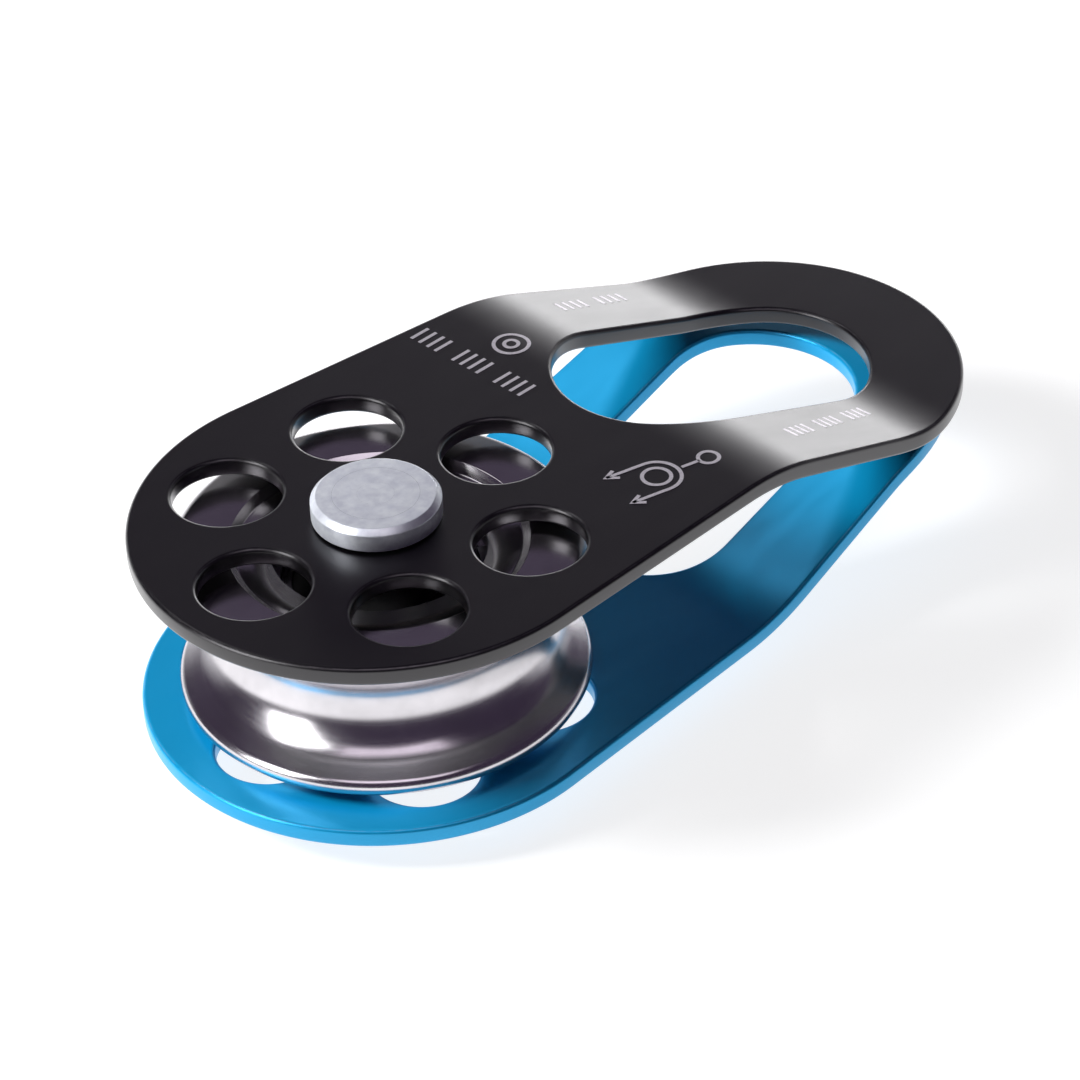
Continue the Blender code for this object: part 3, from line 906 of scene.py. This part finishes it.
class PULLEY_OT_axle(bpy.types.Operator):
    """Turns the axle pin with its front head, and the rear collar"""

    bl_idname = "rope_pulley.axle"
    bl_label = "Axle pin and collar"

    def execute(self, context):
        sizes = context.scene.pulley_axle
        looks = context.scene.pulley_finishes
        satin = lathe_metal("satin_head", looks.satin, 0.32, 2600, 0.000006, 0.6, mottle=620)
        head = PIN_HIGH.x
        top, bottom = PIN_HIGH.z, PIN_LOW.z
        chamfer = sizes.chamfer
        neck = top - sizes.head_thickness
        tail = COLLAR_HIGH.z + COLLAR_GAP
        pin_profile = rounded(
            [
                (0, top),
                (head - chamfer, top),
                (head, top - chamfer),
                (head, neck),
                (sizes.pin_radius, neck),
                (sizes.pin_radius, tail),
                (sizes.tail_radius, tail),
                (sizes.tail_radius, bottom),
                (0, bottom),
            ],
            sizes.edge_round,
            closed=False,
        )
        pin = turned("axle_pin_turned", pin_profile, closed=False)
        finish_piece(pin, satin, "satin_steel", "axle", "axle_pin")
        bore = sizes.tail_radius + RUNNING_FIT
        collar_profile = rounded(
            [
                (bore, COLLAR_HIGH.z),
                (head, COLLAR_HIGH.z),
                (head, bottom + chamfer),
                (head - chamfer, bottom),
                (bore, bottom),
            ],
            sizes.edge_round,
        )
        collar = turned("rear_collar_turned", collar_profile)
        finish_piece(collar, satin, "satin_steel", "axle", "rear_collar")
        return {"FINISHED"}


class PULLEY_OT_inner_parts(bpy.types.Operator):
    """Finishes the spacers, washers, bearing and retaining ring between the cheeks"""

    bl_idname = "rope_pulley.inner_parts"
    bl_label = "Bearing and spacers"

    def execute(self, context):
        looks = context.scene.pulley_finishes
        steel = lathe_metal("spacer_steel", looks.spacer, 0.32, 2000, 0.000006)
        ground = lathe_metal("ground_steel", looks.ground, 0.14, 5000, 0.000002)
        spring = lathe_metal("spring_steel", looks.spring, 0.35, 1200, 0.000004, 0.9)
        nylon = moulded("white_nylon", looks.nylon, 0.5, 0.00001)
        rubber = moulded("seal_rubber", looks.rubber, 0.65, 0.00001)
        square_rings = {
            "front_spacer": (steel, "spacer_steel", "axle"),
            "rear_spacer": (steel, "spacer_steel", "axle"),
            "front_thrust_washer": (nylon, "nylon", "axle"),
            "rear_thrust_washer": (nylon, "nylon", "axle"),
            "bearing_front_seal": (rubber, "seal_rubber", "wheel"),
            "bearing_rear_seal": (rubber, "seal_rubber", "wheel"),
        }
        for node, (material, slot, body) in square_rings.items():
            make_square_ring(node, material, slot, body)
        for node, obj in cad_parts.items():
            if node.startswith("bearing_ball") or node in ("bearing_inner_ring", "bearing_outer_ring"):
                paint(obj, ground)
            elif node == "bearing_cage":
                paint(obj, nylon)
            elif node == "retaining_ring":
                paint(obj, spring)
        return {"FINISHED"}


def make_square_ring(node, material, slot, body):
    """A washer or sleeve with softened edges, in place of the node's plain ring."""
    low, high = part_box(node)
    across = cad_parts[node].data
    radii = [math.hypot(vertex.co.x, vertex.co.y) for vertex in across.vertices]
    inner, outer = min(radii), max(radii)
    soft = min(0.0002, 0.3 * (high.z - low.z))
    section = [(inner, high.z), (outer, high.z), (outer, low.z), (inner, low.z)]
    ring = turned(node + "_turned", rounded(section, soft, steps=4), segments=96)
    finish_piece(ring, material, slot, body, node)


FAR_SIDE = math.radians(40)
ROOM_NEAR = (0.040, 0.028, 0.052, 1)
ROOM_FAR = (0.075, 0.060, 0.090, 1)
HORIZON = (0.9, 0.9, 0.92, 1)
FLOOR_REACH = 3.0
FLOOR_GAP = 0.0002
FLOOR_GLOW = 0.84
WHITE = (1, 1, 1)
LILAC = (1.0, 0.90, 1.0)
# Name, what it lights, direction round the pulley from +X, height over the horizon, distance,
# size, power and tint. A "matt" light doesn't show in reflections, and a "gloss" one only does.
STUDIO_LIGHTS = (
    ("left_key", "matt", math.radians(140), math.radians(35), 0.8, (0.26, 0.26), 12.5, WHITE),
    ("left_box", "gloss", math.radians(166), math.radians(30), 0.8, (0.36, 0.56), 3.2, WHITE),
    ("far_strip", "gloss", math.radians(38), math.radians(8), 1.2, (0.75, 0.18), 1.9, WHITE),
    ("back_box", "gloss", math.radians(86), math.radians(54), 0.9, (0.30, 0.16), 0.28, WHITE),
    ("front_fill", "gloss", math.radians(-131), math.radians(60), 0.7, (0.55, 0.26), 0.5, LILAC),
)


class PULLEY_OT_stage(bpy.types.Operator):
    """Sets up the floor, the lights and the camera"""

    bl_idname = "rope_pulley.stage"
    bl_label = "Stage"

    def execute(self, context):
        sizes = context.scene.pulley_stage
        context.scene.view_settings.view_transform = "Standard"
        make_floor()
        make_sky()
        make_lights()
        make_camera(context.scene, sizes)
        return {"FINISHED"}


def make_floor():
    """A wide pale floor that the collar rests on."""
    side = FLOOR_REACH
    corners = [(-side, -side, 0), (side, -side, 0), (side, side, 0), (-side, side, 0)]
    mesh = bpy.data.meshes.new("floor")
    mesh.from_pydata(corners, [], [(0, 1, 2, 3)])
    floor = bpy.data.objects.new("floor", mesh)
    floor.location.z = CAD_BOX[0].z - FLOOR_GAP
    bpy.context.scene.collection.objects.link(floor)
    material, tree, shader = principled("pale_floor", base_color=(0.3, 0.3, 0.3, 1), roughness=0.8)
    mottle = noise(tree, object_coordinates(tree), 3)
    tone = mix(tree, mottle, (0.96, 0.96, 0.96, 1), (1, 1, 1, 1))
    tree.links.new(tone, shader.inputs["Emission Color"])
    shader.inputs["Emission Strength"].default_value = FLOOR_GLOW
    paint(floor, material)


def area_light(name, place, aim, size, power, tint):
    """A rectangular soft light at a place, turned towards its aim."""
    data = bpy.data.lights.new(name, "AREA")
    data.shape = "RECTANGLE"
    data.size, data.size_y = size
    data.energy = power
    data.color = tint
    light = bpy.data.objects.new(name, data)
    light.location = place
    direction = aim - place
    light.rotation_euler = direction.to_track_quat("-Z", "Y").to_euler()
    bpy.context.scene.collection.objects.link(light)
    return light


def make_sky():
    """A dim violet-grey room whose horizon is bright on the far side only.

    The glow is the product of two ramps: one falls with height over the horizon, and the other
    rises with the direction's share towards the far side.
    """
    world = bpy.data.worlds.new("studio")
    bpy.context.scene.world = world
    world.use_nodes = True
    tree = world.node_tree
    background = tree.nodes["Background"]
    direction = add(tree, "ShaderNodeTexCoord").outputs["Generated"]
    height = add(tree, "ShaderNodeSeparateXYZ", {"Vector": direction}).outputs["Z"]
    far = (math.cos(FAR_SIDE), math.sin(FAR_SIDE), 0)
    toward = add(tree, "ShaderNodeVectorMath", {0: direction, 1: far}, operation="DOT_PRODUCT")
    low = spread(tree, height, 1, 0, 0.08, 0.30)
    away = spread(tree, toward.outputs["Value"], 0, 1, 0.2, 0.8)
    glow = add(tree, "ShaderNodeMath", {0: low, 1: away}, operation="MULTIPLY").outputs["Value"]
    room = mix(tree, away, ROOM_NEAR, ROOM_FAR)
    shown = mix(tree, glow, room, HORIZON)
    tree.links.new(shown, background.inputs["Color"])


def make_lights():
    """Soft boxes round the pulley, each aimed at its middle."""
    middle = Vector((0.03, 0, MID_Z))
    for name, kind, turn, rise, distance, size, power, tint in STUDIO_LIGHTS:
        flat = math.cos(rise) * distance
        offset = Vector((flat * math.cos(turn), flat * math.sin(turn), distance * math.sin(rise)))
        light = area_light(name, middle + offset, middle, size, power, tint)
        light.visible_glossy = kind != "matt"
        light.visible_diffuse = kind != "gloss"


def make_camera(scene, sizes):
    """A camera aimed at its target from an azimuth and elevation, then rolled about its axis."""
    turn, rise = sizes.azimuth, sizes.elevation
    back = Vector(
        (math.sin(turn) * math.cos(rise), -math.cos(turn) * math.cos(rise), math.sin(rise))
    )
    level = Vector((math.cos(turn), math.sin(turn), 0))
    upright = back.cross(level)
    right = level * math.cos(sizes.roll) - upright * math.sin(sizes.roll)
    up = upright * math.cos(sizes.roll) + level * math.sin(sizes.roll)
    target = Vector((sizes.target_x, sizes.target_y, MID_Z))
    data = bpy.data.cameras.new("camera")
    data.lens = sizes.lens
    data.clip_start = 0.01
    camera = bpy.data.objects.new("camera", data)
    place = Matrix((right, up, back)).transposed().to_4x4()
    place.translation = target + back * sizes.distance
    camera.matrix_world = place
    scene.collection.objects.link(camera)
    scene.camera = camera


class PULLEY_PT_panel(bpy.types.Panel):
    """Lists the pulley's pieces in the sidebar"""

    bl_label = "Rope pulley"
    bl_space_type = "VIEW_3D"
    bl_region_type = "UI"
    bl_category = "Rope pulley"

    def draw(self, context):
        for operator in OPERATORS:
            self.layout.operator(operator.bl_idname)


GROUPS = {
    "pulley_cheeks": CheekSettings,
    "pulley_wheel": WheelSettings,
    "pulley_axle": AxleSettings,
    "pulley_finishes": FinishSettings,
    "pulley_stage": StageSettings,
}
OPERATORS = (
    PULLEY_OT_cheeks,
    PULLEY_OT_marks,
    PULLEY_OT_sheave,
    PULLEY_OT_axle,
    PULLEY_OT_inner_parts,
    PULLEY_OT_stage,
)
CLASSES = (*GROUPS.values(), *OPERATORS, PULLEY_PT_panel)


def register():
    for cls in CLASSES:
        bpy.utils.register_class(cls)
    for name, group in GROUPS.items():
        setattr(bpy.types.Scene, name, PointerProperty(type=group))


def unregister():
    for name in GROUPS:
        delattr(bpy.types.Scene, name)
    for cls in reversed(CLASSES):
        bpy.utils.unregister_class(cls)


def main():
    register()
    for operator in OPERATORS:
        group, action = operator.bl_idname.split(".")
        getattr(getattr(bpy.ops, group), action)()


if __name__ == "__main__":
    main()
